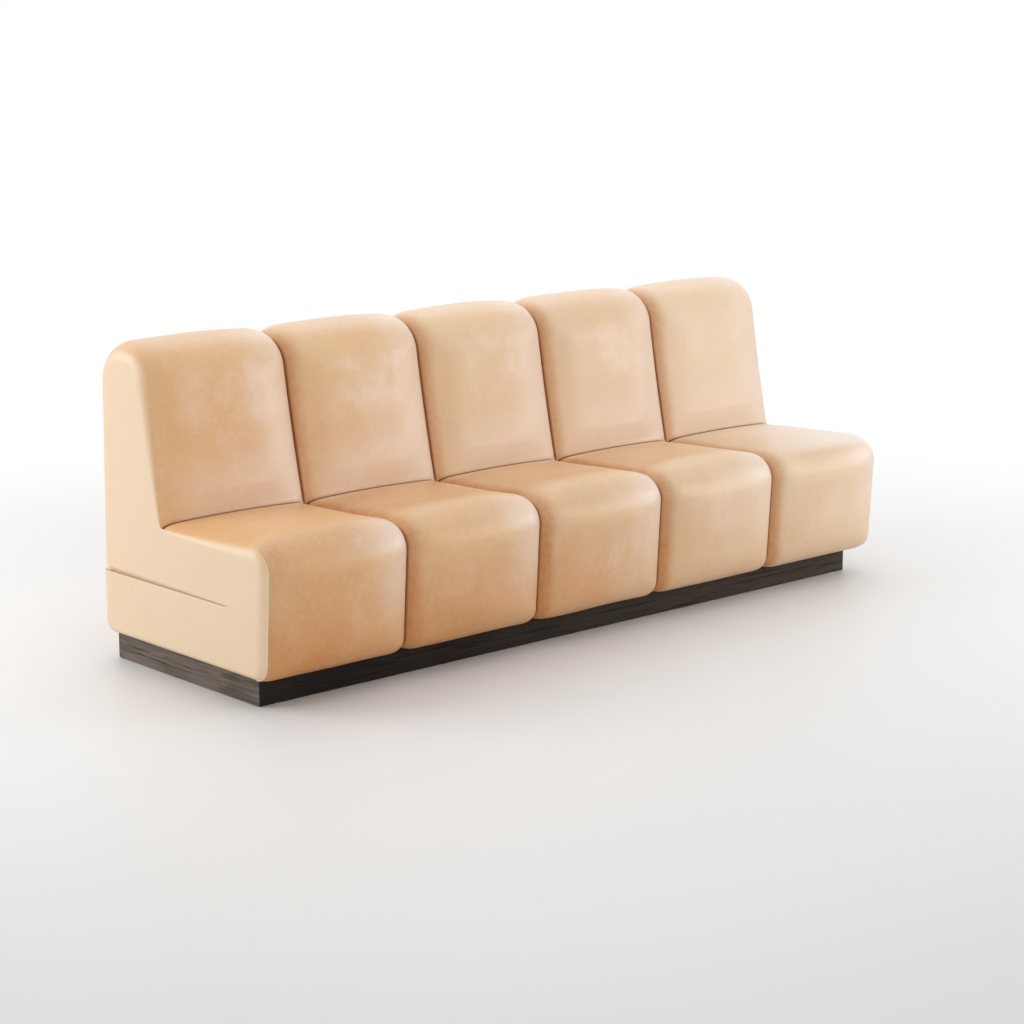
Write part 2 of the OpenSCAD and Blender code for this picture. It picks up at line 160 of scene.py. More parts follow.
class BENCH_PG_stage(PropertyGroup):
    floor: colour("Floor", "The floor under the bench", (229, 228, 227))
    key: power("Key lamp", "Power of the lamp at the left", 80)
    fill: power("Fill lamp", "Power of the lamp at the right", 42)
    left: power("Left lamp", "Power of the lamp in front of the left end", 3)
    overhead: power("Top lamp", "Power of the lamp overhead", 77)
    rear: power("Rear lamp", "Power of the lamp over the floor behind", 30)
    sky: FloatProperty(name="Surround", description="Strength of the even light", default=0.54)
    lens: FloatProperty(name="Lens", description="Focal length of the camera in mm", default=84.56)
    turn: angle("Turn", "How far round the bench the camera stands, from its front", -42.0)
    rise: angle("Rise", "How far down the camera looks", 11.94)
    view_from: FloatVectorProperty(
        name="Camera place", description="Where the camera stands", size=3,
        default=(-4.88335, -5.40569, 1.86292), subtype="TRANSLATION", unit="LENGTH",
    )


# Shader nodes


class Wire:
    """A node's output socket. Arithmetic on it adds Math nodes."""

    def __init__(self, graph, socket):
        self.graph, self.socket = graph, socket

    def __add__(self, other):
        return self.graph.maths("ADD", self, other)

    def __radd__(self, other):
        return self.graph.maths("ADD", other, self)

    def __sub__(self, other):
        return self.graph.maths("SUBTRACT", self, other)

    def __rsub__(self, other):
        return self.graph.maths("SUBTRACT", other, self)

    def __mul__(self, other):
        return self.graph.maths("MULTIPLY", self, other)

    def __rmul__(self, other):
        return self.graph.maths("MULTIPLY", other, self)

    def __truediv__(self, other):
        return self.graph.maths("DIVIDE", self, other)

    def __pow__(self, other):
        return self.graph.maths("POWER", self, other)


class Nodes:
    """The nodes of one material or world."""

    def __init__(self, owner):
        owner.use_nodes = True
        self.tree = owner.node_tree
        self.tree.nodes.clear()

    def node(self, kind, settings, inputs, output=0):
        """One node with its settings and inputs: its output socket, or a closing node itself."""
        made = self.tree.nodes.new("ShaderNode" + kind)
        for key, value in settings.items():
            setattr(made, key, value)
        for key, value in inputs.items():
            self.feed(made.inputs[key], value)
        return Wire(self, made.outputs[output]) if made.outputs else made

    def feed(self, socket, value):
        if isinstance(value, Wire):
            self.tree.links.new(value.socket, socket)
        elif socket.type == "RGBA" and len(value) == 3:
            socket.default_value = (*value, 1.0)
        else:
            socket.default_value = value

    def maths(self, operation, a, b=0.0):
        return self.node("Math", {"operation": operation}, {0: a, 1: b})

    def place(self, scale=(1, 1, 1), shift=(0, 0, 0)):
        """Where a point lies on the object, stretched and shifted."""
        here = self.node("TexCoord", {}, {}, "Object")
        return self.node("Mapping", {}, {"Vector": here, "Scale": scale, "Location": shift})

    def grained(self, axis, across, along):
        """Where a point lies, scaled by across but by along on the axis of the grain."""
        return self.place([along if i == axis else across for i in range(3)])

    def split(self, vector):
        """The three numbers of a vector."""
        x = self.node("SeparateXYZ", {}, {"Vector": vector}, "X")
        outputs = x.socket.node.outputs
        return x, Wire(self, outputs["Y"]), Wire(self, outputs["Z"])

    def facing(self):
        """The three numbers of the direction that a surface faces."""
        return self.split(self.node("NewGeometry", {}, {}, "Normal"))

    def size(self, value):
        return self.maths("ABSOLUTE", value)

    def noise(self, at, scale, detail=2.0, roughness=0.5, distortion=0.0):
        return self.node(
            "TexNoise", {"noise_dimensions": "3D"},
            {"Vector": at, "Scale": scale, "Detail": detail, "Roughness": roughness,
             "Distortion": distortion},
        )

    def step(self, value, low, high, to_low=0.0, to_high=1.0):
        """value between low and high, as a smooth step from to_low to to_high."""
        return self.node(
            "MapRange", {"interpolation_type": "SMOOTHSTEP"},
            {0: value, 1: low, 2: high, 3: to_low, 4: to_high},
        )

    def near(self, value, middle, inner, outer, most=1.0):
        """most within inner of the middle, falling to 0 at outer from it."""
        return self.step(self.size(value - middle), inner, outer, most, 0.0)

    def mix(self, factor, a, b):
        """Colours a and b mixed by factor."""
        return self.node("Mix", {"data_type": "RGBA"}, {0: factor, 6: a, 7: b}, 2)

    def bump(self, height, distance, strength):
        return self.node("Bump", {}, {"Height": height, "Distance": distance, "Strength": strength})


class Graph(Nodes):
    """The nodes of one material, round a Principled shader."""

    def __init__(self, name, **fixed):
        self.material = bpy.data.materials.new(name)
        super().__init__(self.material)
        self.shader = self.node("BsdfPrincipled", {}, fixed)
        self.output = self.node("OutputMaterial", {}, {"Surface": self.shader})

    def surface(self, **inputs):
        shader = self.shader.socket.node
        for key, value in inputs.items():
            self.feed(shader.inputs[key.replace("_", " ")], value)
        return self.material


def places_on_bench(g, at, form):
    """Where a point lies on its seat and which faces it is on, as numbers and masks."""
    x, y, z = g.split(at)
    facing_x, facing_y, _ = g.facing()
    end = form.seat_w * len(SEATS) / 2
    count = (x + end) / form.seat_w
    m = SimpleNamespace(x=x, y=y, z=z, up=z - form.seat_h)
    m.number = g.maths("FLOOR", count)
    # Across a seat from -0.5 to 0.5, and the distance from its side plane
    m.across = g.maths("FRACT", count) - 0.5
    m.from_side = form.seat_w / 2 - g.size(m.across) * form.seat_w
    m.inner = g.step(g.size(x), end - 0.08, end - 0.03, 1.0, 0.0)
    m.forward = g.step(facing_y, -0.3, 0.15, 1.0, 0.0)
    # On the front the side panel's hide ends at the seam
    sewn = g.step(m.from_side, form.seam_place - 0.002, form.seam_place + 0.001, 1.0, 0.0)
    sewn = sewn * (1.0 - m.inner) * g.step(m.up, -0.096, -0.036, 1.0, 0.0)
    m.panel = g.maths("MAXIMUM", g.step(g.size(facing_x), 0.6, 0.98), sewn)
    m.face = 1.0 - m.panel
    m.behind = g.step(y, -0.05, 0.05)
    m.seat = g.step(y, -0.32, -0.26) * g.step(y, 0.02, 0.06, 1.0, 0.0)
    return m


def shine(g, m, cloud, small):
    """Painted sheen, pale highlights of the lamps on the hide, and painted glare, whiter highlights
    on the right edges and noses and a painted reflection of the white surround on the last seat.
    """
    patches = g.step(cloud * 0.8 + small * 0.2, 0.36, 0.66)
    middle = g.near(m.across, 0.04, 0.1, 0.42)
    back = g.near(m.up, 0.294, 0.04, 0.14)
    front = g.near(m.up, -0.186, 0.03, 0.15) * g.step(m.x, -0.5, 0.0, 0.2, 0.6)
    foot = g.step(m.up, -0.016, 0.224, 1.0, 0.0) * g.step(m.across, -0.48, -0.22) * m.behind
    rim = g.step(m.across, 0.1, 0.44) * g.maths("MAXIMUM", m.behind, g.step(m.up, -0.356, -0.136))
    right = g.step(m.across, -0.1, 0.4) * g.step(m.up, 0.124, 0.384, 1.0, 0.0) * m.behind
    nose = g.near(m.up, -0.052, 0.004, 0.056) * g.step(m.across, -0.15, 0.42)
    nose = nose * g.step(m.y, -0.34, -0.27, 0.7, 0.0)
    # Painted sheen: pale highlights on the backs, fronts, right edges, noses and tops
    painted_sheen = middle * g.maths("MAXIMUM", back, front) * patches * 0.8 + right * cloud * 0.6
    painted_sheen = painted_sheen + foot * (0.72 + cloud * 0.6) + rim * 0.58 + nose * 0.6
    painted_sheen = painted_sheen * m.forward + g.step(m.up, 0.424, 0.46) * 0.4
    # Painted reflection of the white surround on the last seat's top
    end_seat = g.step(m.x - m.y * 0.6, 0.88, 1.32) * g.step(m.up, -0.036, -0.008)
    glare = (rim * 0.3 + nose * 0.25) * m.forward
    glare = glare + end_seat * g.step(m.y, 0.02, 0.06, 1.0, 0.0)
    return g.maths("MINIMUM", painted_sheen * m.face, 1.0), g.maths("MINIMUM", glare * m.face, 1.0)


def dye_and_shade(g, m, wash, small):
    """How deep the colour lies: random dye, with painted shade beside the grooves between seats and
    low on the fronts; and the painted shade low on the front on its own.
    """
    # Painted shade on the shoulders beside the grooves between seats
    shoulder = g.step(m.from_side, 0.004, 0.05, 1.0, 0.0) * m.inner
    # Painted shade low on the fronts, strongest at the left end of the row
    low_front_shade = g.step(m.up, -0.356, 0.024, 1.0, 0.0) * g.step(m.across, -0.2, 0.5, 1.0, 0.6)
    low_front_shade = low_front_shade * m.forward * g.step(m.x, -1.1, 0.9, 0.95, 0.2)
    deep = g.step(wash, 0.46, 0.72) * 0.16 + g.step(small, 0.54, 0.78) * 0.12 + low_front_shade
    # Deeper on the seat tops, least on the first and none on the last
    deep = deep + m.seat * g.step(m.x, -1.0, -0.5, 0.15, 0.4) * g.step(m.x, 0.4, 1.0, 1.0, 0.0)
    deep = deep * m.face + shoulder * g.step(m.across, -0.1, 0.1, 0.7, 0.15)
    return g.maths("MINIMUM", deep, 1.0), low_front_shade


def painted_front_shade(g, m):
    """Painted shade: darker on the nose, and on the upper front of the first seat."""
    nose = g.near(m.up, -0.031, 0.01, 0.055, 0.1)
    first = g.step(m.x, -1.0, -0.72, 0.09, 0.0) * g.step(m.up, -0.226, -0.076)
    return (nose + first) * g.step(m.y, -0.36, -0.28, 1.0, 0.0) * m.forward * m.face


def seam_shade_and_lip_highlight(g, m, shape):
    """Painted shade in the grooves, the crease and the slit of the tuck, and a painted highlight on
    the lip under the slit.
    """
    form = shape.form
    # Painted shade in the grooves between seats, fainter on the seat tops
    groove = g.step(m.from_side, 0.0025, 0.0075, 1.0, 0.0) * m.inner * (1.0 - m.seat * 0.8)
    # The crease follows the rounding of the edges
    edge = g.maths("MAXIMUM", 1.0 - m.from_side / form.crease_run, 0.0)
    rounding = 1.0 - g.maths("SQRT", 1.0 - edge * edge)
    hollow = (1.0 - m.from_side / (form.seat_w / 2)) ** 2.0
    drop = form.crease_drop * rounding + form.crown * hollow
    middle = meet(shape.seat_line, shape.back_line) + np.array([0.0035, -0.0082])
    above, beyond = m.z + drop - float(middle[1]), m.y - drop - float(middle[0])
    away = g.maths("SQRT", above * above + beyond * beyond)
    # Painted shade along the crease
    crease = g.step(away, 0.006, 0.0125, 1.0, 0.0) * g.step(m.from_side, 0.001, 0.007)
    start = shape.rear - form.edge_drop - form.crown - form.tuck_run
    tucked = g.step(m.y, start + 0.005, start + 0.037) * m.panel
    # Painted shade in the slit, and a painted highlight on the lip under it
    slit = g.near(m.z, form.tuck_h - 0.0003, 0.0008, 0.0024) * tucked
    lip = g.near(m.z, form.tuck_h - 0.0042, 0.0008, 0.003) * tucked
    return g.maths("MINIMUM", groove * 0.75 + crease * 0.9 + slit * 0.5, 1.0), lip


def leather(finish, shape):
    """Smooth tan hide: a tone for each seat, paler towards the right as painted light, soft clouds,
    a pale painted sheen, painted shade in the dark grooves and low on the fronts, and a fine grain."""
    g = Graph("leather", **{"Specular IOR Level": 0.6, "Coat Roughness": 0.34})
    at = g.place()
    m = places_on_bench(g, at, shape.form)
    cloud = g.noise(at, 6.5, 5.0, 0.62, 0.4)
    small = g.noise(at, 26.0, 4.0, 0.62, 0.6)
    wash = g.noise(g.place(shift=(3.1, 1.7, 0.4)), 2.6, 3.0, 0.5)
    painted_sheen, glare = shine(g, m, cloud, small)
    deep, low_front_shade = dye_and_shade(g, m, wash, small)
    dark, lip = seam_shade_and_lip_highlight(g, m, shape)
    # Painted light: each seat's hide is paler than the one to its left, and the side panels are
    # paler still, as the lamps light them
    tone = g.maths("MAXIMUM", m.number * 0.2, m.panel * 0.85)
    shade = g.mix(tone, finish.leather, finish.leather_lit_pale)
    # Random dye, with painted shade beside the grooves and low on the fronts
    shade = g.mix(deep, shade, finish.leather_dye_and_shade)
    # Painted shade on the noses and on the first seat's front
    shade = g.mix(painted_front_shade(g, m), shade, finish.leather_marks_and_shade)
    mottle = g.step(g.noise(at, 60.0, 3.0, 0.6), 0.36, 0.66) * 0.12
    # Random clouds and mottle, with the painted sheen over them
    pale = (g.step(cloud, 0.46, 0.7) * 0.2 + mottle) * (1.0 - low_front_shade * 0.6) + painted_sheen * 0.6
    shade = g.mix(pale, shade, finish.leather_mottle_and_sheen)
    # Painted glare and reflection at the right end
    shade = g.mix(glare * 0.6, shade, finish.leather_glare)
    # Painted shade in the grooves, crease and slit, over a painted highlight on the lip under the
    # slit
    shade = g.mix(dark, g.mix(lip * 0.6, shade, finish.leather_mottle_and_sheen), finish.leather_marks_and_shade)
    marks = g.node("TexVoronoi", {"feature": "F1"}, {"Vector": at, "Scale": 30.0})
    speck = g.step(marks, 0.035, 0.075, 1.0, 0.0) * g.step(g.noise(at, 7.7, 1.0), 0.55, 0.62)
    shade = g.mix(speck * 0.5, shade, finish.leather_marks_and_shade)
    grain = g.node("TexVoronoi", {"feature": "DISTANCE_TO_EDGE"}, {"Vector": at, "Scale": 520.0})
    fine = g.noise(at, 900.0, 2.0)
    creases = g.noise(g.place((1, 1, 0.6)), 60.0, 5.0, 0.6, 1.2)
    height = g.step(grain, 0.0, 0.09) * 0.6 + fine * 0.25 + creases * 1.1 + cloud * 4.0 + small * 2.0
    return g.surface(
        Base_Color=shade,
        Roughness=g.step(cloud + small * 0.5, 0.55, 1.0, 0.50, 0.62) - painted_sheen * 0.1 + dark * 0.4,
        Coat_Weight=(0.4 + painted_sheen * 0.45 - low_front_shade * 0.2) * (1.0 - dark),
        Normal=g.bump(height, 0.0005, 0.6),
    )


def stained_oak(finish, name, along, worn):
    """Dark stained oak. along is the axis that the grain follows, 0 for X and 1 for Y, and worn is
    how much of the light grain shows: painted light, high on the lit end boards and low on the
    shaded front and rear."""
    g = Graph(name, **{"Specular IOR Level": 0.04 + 0.23 * worn})
    bands = g.noise(g.grained(along, 22.0, 1.5), 1.0, 4.0, 0.6, 1.4)
    rings = g.maths("FRACT", bands * 5.0)
    line = g.near(rings, 0.5, 0.0, 0.32)
    pores = g.step(g.noise(g.grained(along, 240.0, 5.0), 1.0, 3.0, 0.6), 0.5, 0.72)
    tone = g.noise(g.place(), 3.0, 3.0)
    # Painted light: the front and rear boards paler towards the right end, where the lamps light the
    # plinth more
    paler = g.step(g.split(g.place())[0], -1.0, 1.2, 0.0, 0.36)
    shade = g.mix(line * worn, finish.oak, finish.oak_light)
    shade = g.mix(paler * (1.0 - worn), shade, finish.oak_light)
    shade = g.mix(g.step(tone, 0.3, 0.7) * worn, shade, finish.oak_light)
    shade = g.mix(pores * 0.85, shade, finish.oak_pore)
    return g.surface(
        Base_Color=shade,
        Roughness=0.42 + pores * 0.3 + line * 0.08,
        Normal=g.bump(line * 0.4 - pores, 0.0004, 0.7),
    )


def pale_wood(finish, name, along):
    """Planed pine with darker late wood."""
    g = Graph(name, **{"Specular IOR Level": 0.35})
    bands = g.noise(g.grained(along, 30.0, 1.2), 1.0, 3.0, 0.5, 0.8)
    rings = g.maths("FRACT", bands * 6.0)
    late = g.step(rings, 0.55, 0.95) * g.step(rings, 0.97, 1.0, 1.0, 0.0)
    fibre = g.noise(g.grained(along, 420.0, 16.8), 1.0, 2.0)
    shade = g.mix(late * 0.6, finish.pine, finish.pine_ring)
    shade = g.mix(g.step(fibre, 0.5, 0.8) * 0.3, shade, finish.pine_ring)
    return g.surface(
        Base_Color=shade, Roughness=0.55 + fibre * 0.2, Normal=g.bump(fibre - late, 0.0003, 0.5)
    )


def plywood(finish, name, thin):
    """Birch plywood. thin is the axis across the plies, 0 for X and 2 for Z."""
    g = Graph(name, **{"Specular IOR Level": 0.35})
    two_plies = 0.003
    plies = g.maths("FRACT", g.split(g.place())[thin] / two_plies)
    edge = g.step(g.size(g.facing()[thin]), 0.4, 0.6, 1.0, 0.0)
    layer = g.step(g.size(plies - 0.5), 0.2, 0.3) * edge
    figure = g.noise(g.grained(1, 14.0, 1.3), 1.0, 4.0, 0.6, 1.5)
    shade = g.mix(g.step(figure, 0.45, 0.7) * 0.35, finish.ply, finish.pine)
    shade = g.mix(layer * 0.55, shade, finish.pine_ring)
    fibre = g.noise(g.grained(1, 280.0, 26.0), 1.0, 2.0)
    return g.surface(
        Base_Color=shade, Roughness=0.5 + fibre * 0.2, Normal=g.bump(fibre - layer, 0.0003, 0.5)
    )


def foam(finish):
    """Open-cell foam."""
    g = Graph("foam", **{"Specular IOR Level": 0.2, "Sheen Weight": 0.2})
    at = g.place()
    cells = g.node("TexVoronoi", {"feature": "F1"}, {"Vector": at, "Scale": 700.0})
    cloud = g.noise(at, 9.0, 3.0)
    shade = g.mix(g.step(cells, 0.1, 0.6) * 0.35 + cloud * 0.2, finish.foam, finish.pine)
    return g.surface(
        Base_Color=shade, Roughness=0.85 + cloud * 0.1, Normal=g.bump(1.0 - cells, 0.0006, 0.8)
    )


def hardboard(finish):
    """Brown hardboard with a pressed mesh on it."""
    g = Graph("hardboard", **{"Specular IOR Level": 0.35})
    at = g.place()
    x, _, z = g.split(at)
    weave = g.maths("SINE", x * 2600.0) * g.maths("SINE", z * 2600.0)
    fibres = g.noise(at, 160.0, 5.0, 0.7)
    shade = g.mix(g.step(fibres, 0.4, 0.7) * 0.5, finish.hardboard, finish.pine_ring)
    return g.surface(
        Base_Color=shade, Roughness=0.6 + fibres * 0.2,
        Normal=g.bump(weave * 0.5 + fibres * 0.5, 0.0003, 0.6),
    )


def webbing(finish):
    """Elastic webbing: ribs across the weave, with paler threads in it."""
    g = Graph("webbing", **{"Specular IOR Level": 0.3, "Sheen Weight": 0.2})
    at = g.place()
    x, y, _ = g.split(at)
    ribs = g.maths("SINE", x * 3100.0) + g.maths("SINE", y * 3100.0)
    fibres = g.noise(at, 420.0, 3.0)
    shade = g.mix(g.step(ribs, 0.2, 1.6) * 0.45 + fibres * 0.15, finish.webbing, finish.foam)
    return g.surface(
        Base_Color=shade, Roughness=0.75 + fibres * 0.15, Normal=g.bump(ribs, 0.0003, 0.8)
    )


def zinc():
    """Bright zinc plate, a little cloudy."""
    g = Graph("zinc", **{"Metallic": 1.0})
    cloud = g.noise(g.place(), 90.0, 4.0, 0.6)
    shade = g.mix(g.step(cloud, 0.35, 0.7), (0.52, 0.53, 0.55), (0.68, 0.67, 0.62))
    return g.surface(
        Base_Color=shade, Roughness=0.26 + cloud * 0.22, Normal=g.bump(cloud, 0.0001, 0.4)
    )


def glide_plastic(finish):
    """Moulded nylon, scuffed by the floor."""
    g = Graph("glide_plastic", **{"Specular IOR Level": 0.5})
    scuff = g.noise(g.place((1, 1, 4)), 260.0, 4.0, 0.7)
    shade = g.mix(g.step(scuff, 0.5, 0.75) * 0.4, finish.glide, (0.33, 0.31, 0.28))
    return g.surface(
        Base_Color=shade, Roughness=0.35 + scuff * 0.3, Normal=g.bump(scuff, 0.0002, 0.4)
    )


# The padded form of a seat


# The stretches of the side profile where the leather is sewn or stapled down
HELD = ["roll in", "roll out", "tuck in", "tuck out", "heel", "rear foot", "hole", "front foot"]
# The opening under a cover, from its middle to each side and from front to rear
HOLE_X = 0.1774
HOLE_Y = (-0.2716, 0.291)


def unit(a):
    return np.array([math.cos(a), math.sin(a)])


def line_at(a, p):
    """A line in the side view: the direction of its outward normal, and its distance."""
    return a, float(unit(a) @ np.array(p, float))


def moved(line, d):
    return line[0], line[1] + d


def meet(a, b):
    u, v = unit(a[0]), unit(b[0])
    k = u[0] * v[1] - u[1] * v[0]
    return np.array([(a[1] * v[1] - b[1] * u[1]) / k, (u[0] * b[1] - v[0] * a[1]) / k])


def arc(a, b, r, steps):
    """An edge of radius r between lines a and b."""
    centre = meet(moved(a, -r), moved(b, -r))
    sweep = (b[0] - a[0] + math.pi) % (2 * math.pi) - math.pi
    return [centre + r * unit(a[0] + sweep * i / steps) for i in range(steps + 1)]


def bend(a, b, c, steps):
    return [
        (1 - t) ** 2 * a + 2 * t * (1 - t) * b + t * t * c
        for t in (i / steps for i in range(steps + 1))
    ]


def straight(a, b, steps):
    return [a + (b - a) * i / steps for i in range(steps + 1)]


def lifted(a, b, lift, steps):
    """A line from a to b that rises towards b, by lift in all."""
    return [p + lift * (i / steps) ** 1.3 for i, p in enumerate(straight(a, b, steps))]


class Shape:
    """The side profile of a seat, and how it is drawn in towards the side panels."""

    def __init__(self, form, seat):
        low, high = (np.array(c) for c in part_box("cover_" + seat))
        self.form = form
        self.x = float(low[0] + high[0]) / 2
        self.half = float(high[0] - low[0]) / 2
        self.front, self.rear = -form.body_d / 2, form.body_d / 2
        self.floor, self.top = float(low[2]), float(high[2])
        f = form
        self.front_line = line_at(math.pi + f.front_lean, (self.front, f.seat_h - f.nose_r))
        self.seat_line = line_at(math.pi / 2 - f.rake, (self.front + f.nose_r, f.seat_h))
        self.back_line = line_at(math.pi - f.recline, (self.front + f.seat_d, f.seat_h))
        self.top_line = line_at(math.pi / 2, (0, self.top))
        self.rear_line = line_at(f.rear_lean, (self.rear - 0.005, f.tuck_h))
        self.heel_line = line_at(0, (self.rear, f.tuck_h))

    def quarter(self, s, run, rise):
        return 0.0 if s >= run else rise * (1 - math.sqrt(1 - (1 - s / run) ** 2))

    def drop(self, s):
        f = self.form
        return self.quarter(s, f.edge_run, f.edge_drop) + f.crown * (1 - s / self.half) ** 2

    def foot(self, s):
        return self.quarter(s, self.form.foot_run, self.form.foot_rise)

    def crease(self, s, fine):
        """The crease at distance s from the side panel: its corner, and the rolls beside it."""
        f = self.form
        # The edges beside a side panel get narrower towards the crease
        drop = self.quarter(s, f.crease_run, f.crease_drop) + f.crown * (1 - s / self.half) ** 2
        corner = meet(moved(self.seat_line, -drop), moved(self.back_line, -drop))
        up = unit(self.back_line[0] - math.pi / 2)
        along = unit(self.seat_line[0] - math.pi / 2)
        # It ends in a soft hollow beside a side panel
        ends = 1 - float(smooth(s / 0.014))
        width = f.crease_w + (f.crease_blend - f.crease_w) * ends
        hold = 0.002 + (width / 2 - 0.002) * ends
        deep = corner + np.array([0.003, -f.crease_depth])
        hollow = corner + up * width / 4 - along * width / 4
        tip = deep + (hollow - deep) * ends
        roll_in = bend(corner - along * width, corner - along * hold, tip, 6 * fine)
        roll_out = bend(tip, corner + up * hold, corner + up * width, 6 * fine)
        return corner, roll_in, roll_out

    def tuck(self, d, rear, heel, fine):
        """The leather turned into the tuck and out again, where the rear lies d inside."""
        f = self.form
        depth = max(0.008, f.tuck_depth - 0.5 * d)
        pit = np.array([self.rear - d - depth, f.tuck_h])
        above = meet(rear, line_at(math.pi / 2, (0, f.tuck_h + 0.024)))
        below = meet(heel, line_at(math.pi / 2, (0, f.tuck_h - 0.005)))
        tuck_in = bend(above, np.array([above[0], f.tuck_h + 0.001]), pit, 6 * fine)
        tuck_out = bend(pit, np.array([below[0], f.tuck_h]), below, 5 * fine)
        return tuck_in, tuck_out

    def profile(self, s, fine):
        """The closed side profile at distance s from the side panel, and the name of the
        stretch that each of its points belongs to."""
        f, d = self.form, self.drop(s)
        under = line_at(-math.pi / 2, (0, self.floor + self.foot(s)))
        lines = (self.front_line, self.seat_line, self.back_line, self.top_line, self.rear_line,
                 self.heel_line)
        front, seat, back, top, rear, heel = (moved(line, -d) for line in lines)
        least_r = 0.004
        toe = arc(under, front, max(least_r, f.toe_r - d), 5 * fine)
        nose = arc(front, seat, f.nose_r - d, 6 * fine)
        corner, roll_in, roll_out = self.crease(s, fine)
        lift = corner - meet(seat, back)
        brow = arc(back, top, f.brow_r - d, 7 * fine)
        crest = arc(top, rear, f.crest_r - d, 7 * fine)
        tuck_in, tuck_out = self.tuck(d, rear, heel, fine)
        heel_arc = arc(heel, under, max(least_r, f.heel_r - d), 4 * fine)
        hole = [np.array([y, self.floor + self.foot(s)]) for y in HOLE_Y]
        parts = {
            "toe": toe, "front": straight(toe[-1], nose[0], 12 * fine), "nose": nose,
            "seat": lifted(nose[-1], roll_in[0] - lift, lift, 13 * fine),
            "roll in": roll_in, "roll out": roll_out,
            "back": lifted(brow[0], roll_out[-1] - lift, lift, 13 * fine)[::-1], "brow": brow,
            "top": straight(brow[-1], crest[0], fine), "crest": crest,
            "rear": straight(crest[-1], tuck_in[0], 22 * fine),
            "tuck in": tuck_in, "tuck out": tuck_out,
            "low rear": straight(tuck_out[-1], heel_arc[0], 5 * fine), "heel": heel_arc,
            "rear foot": straight(heel_arc[-1], hole[1], 2 * fine),
            "hole": straight(hole[1], hole[0], 14 * fine),
            "front foot": straight(hole[0], toe[0], 2 * fine),
        }
        points = np.array([p for part in parts.values() for p in part[:-1]])
        stretch = np.array([name for name, part in parts.items() for _ in part[:-1]])
        return points, stretch

    def rings(self, places, fine):
        """Rings of points across the seat, (ring, point, xyz), from its left to its right."""
        loops, stretch = [], None
        for s in places:
            points, stretch = self.profile(s, fine)
            loops.append(points)
        rows = []
        for side, order in ((-1, range(len(places))), (1, range(len(places) - 2, -1, -1))):
            for i in order:
                x = np.full(len(loops[i]), side * (self.half - places[i]))
                rows.append(np.column_stack([x, loops[i]]))
        return np.array(rows), stretch


def normals(grid):
    """Outward unit normals of a grid of rings."""
    along = np.roll(grid, -1, axis=1) - np.roll(grid, 1, axis=1)
    over = np.gradient(grid, axis=0)
    n = np.cross(over, along)
    return n / np.maximum(np.linalg.norm(n, axis=2, keepdims=True), 1e-12)


def grid_faces(rings, n):
    r, j = np.meshgrid(np.arange(rings - 1), np.arange(n), indexing="ij")
    a, b = r * n + j, r * n + (j + 1) % n
    return np.stack([a, a + n, b + n, b], axis=-1).reshape(-1, 4)


def smooth(t):
    t = np.clip(t, 0, 1)
    return t * t * (3 - 2 * t)


def loose(s):
    """How free the leather is at distance s from the side panel: 0 beside it, 1 further in."""
    return smooth((s - 0.012) / 0.05)


def swollen(shape, seed, cap):
    """How far a filled cloth cover moves from its sewn shape: a grid of (ring, point, xyz) on
    coarse rings, with their places across the seat."""
    places = [0, 0.006, 0.014, 0.026, 0.042, 0.064, 0.088, 0.115, 0.145, 0.175, 0.21, shape.half]
    grid, stretch = shape.rings(places, 1)
    rng = np.random.default_rng(seed)
    waves = sum(
        np.sin(grid @ rng.uniform(-22, 22, 3) + rng.uniform(0, 6.28)) for _ in range(6)
    )
    held = held_weights(shape, grid, stretch)
    start = grid + normals(grid) * (waves * 0.0006 * (1 - held))[..., None]
    move = filled(start, held) - grid
    far = np.linalg.norm(move, axis=2, keepdims=True)
    move *= np.minimum(1, cap / np.maximum(far, 1e-9))
    return places, move


def filled(start, held):
    """The grid of a closed cloth after it is blown up, with its held points in place."""
    rings, n, _ = start.shape
    faces = [list(map(int, f)) for f in grid_faces(rings, n)]
    faces += [list(range(n)), list(range((rings - 1) * n, rings * n))[::-1]]
    mesh = bpy.data.meshes.new("filling")
    mesh.from_pydata(start.reshape(-1, 3).tolist(), [], faces)
    bm = bmesh.new()
    bm.from_mesh(mesh)
    bmesh.ops.triangulate(bm, faces=[f for f in bm.faces if len(f.verts) > 4])
    bmesh.ops.recalc_face_normals(bm, faces=bm.faces)
    bm.to_mesh(mesh)
    bm.free()
    obj = bpy.data.objects.new("filling", mesh)
    bpy.context.scene.collection.objects.link(obj)
    group = obj.vertex_groups.new(name="held")
    for i, w in enumerate(held.reshape(-1)):
        group.add([i], float(w), "REPLACE")
    cloth = obj.modifiers.new("Cloth", "CLOTH")
    settings = cloth.settings
    settings.quality = 5
    settings.mass = 0.4
    settings.tension_stiffness = settings.compression_stiffness = 12
    settings.shear_stiffness = 6
    settings.bending_stiffness = 1.5
    settings.use_pressure = True
    settings.uniform_pressure_force = 4
    settings.vertex_group_mass = "held"
    settings.effector_weights.gravity = 0
    cloth.collision_settings.use_collision = False
    first, last = 1, 20
    cloth.point_cache.frame_start, cloth.point_cache.frame_end = first, last
    for step in range(first, last + 1):
        bpy.context.scene.frame_set(step)
    seen = obj.evaluated_get(bpy.context.evaluated_depsgraph_get())
    out = np.empty(rings * n * 3)
    seen.data.vertices.foreach_get("co", out)
    bpy.context.scene.frame_set(first)
    bpy.data.objects.remove(obj)
    bpy.data.meshes.remove(mesh)
    return out.reshape(rings, n, 3)


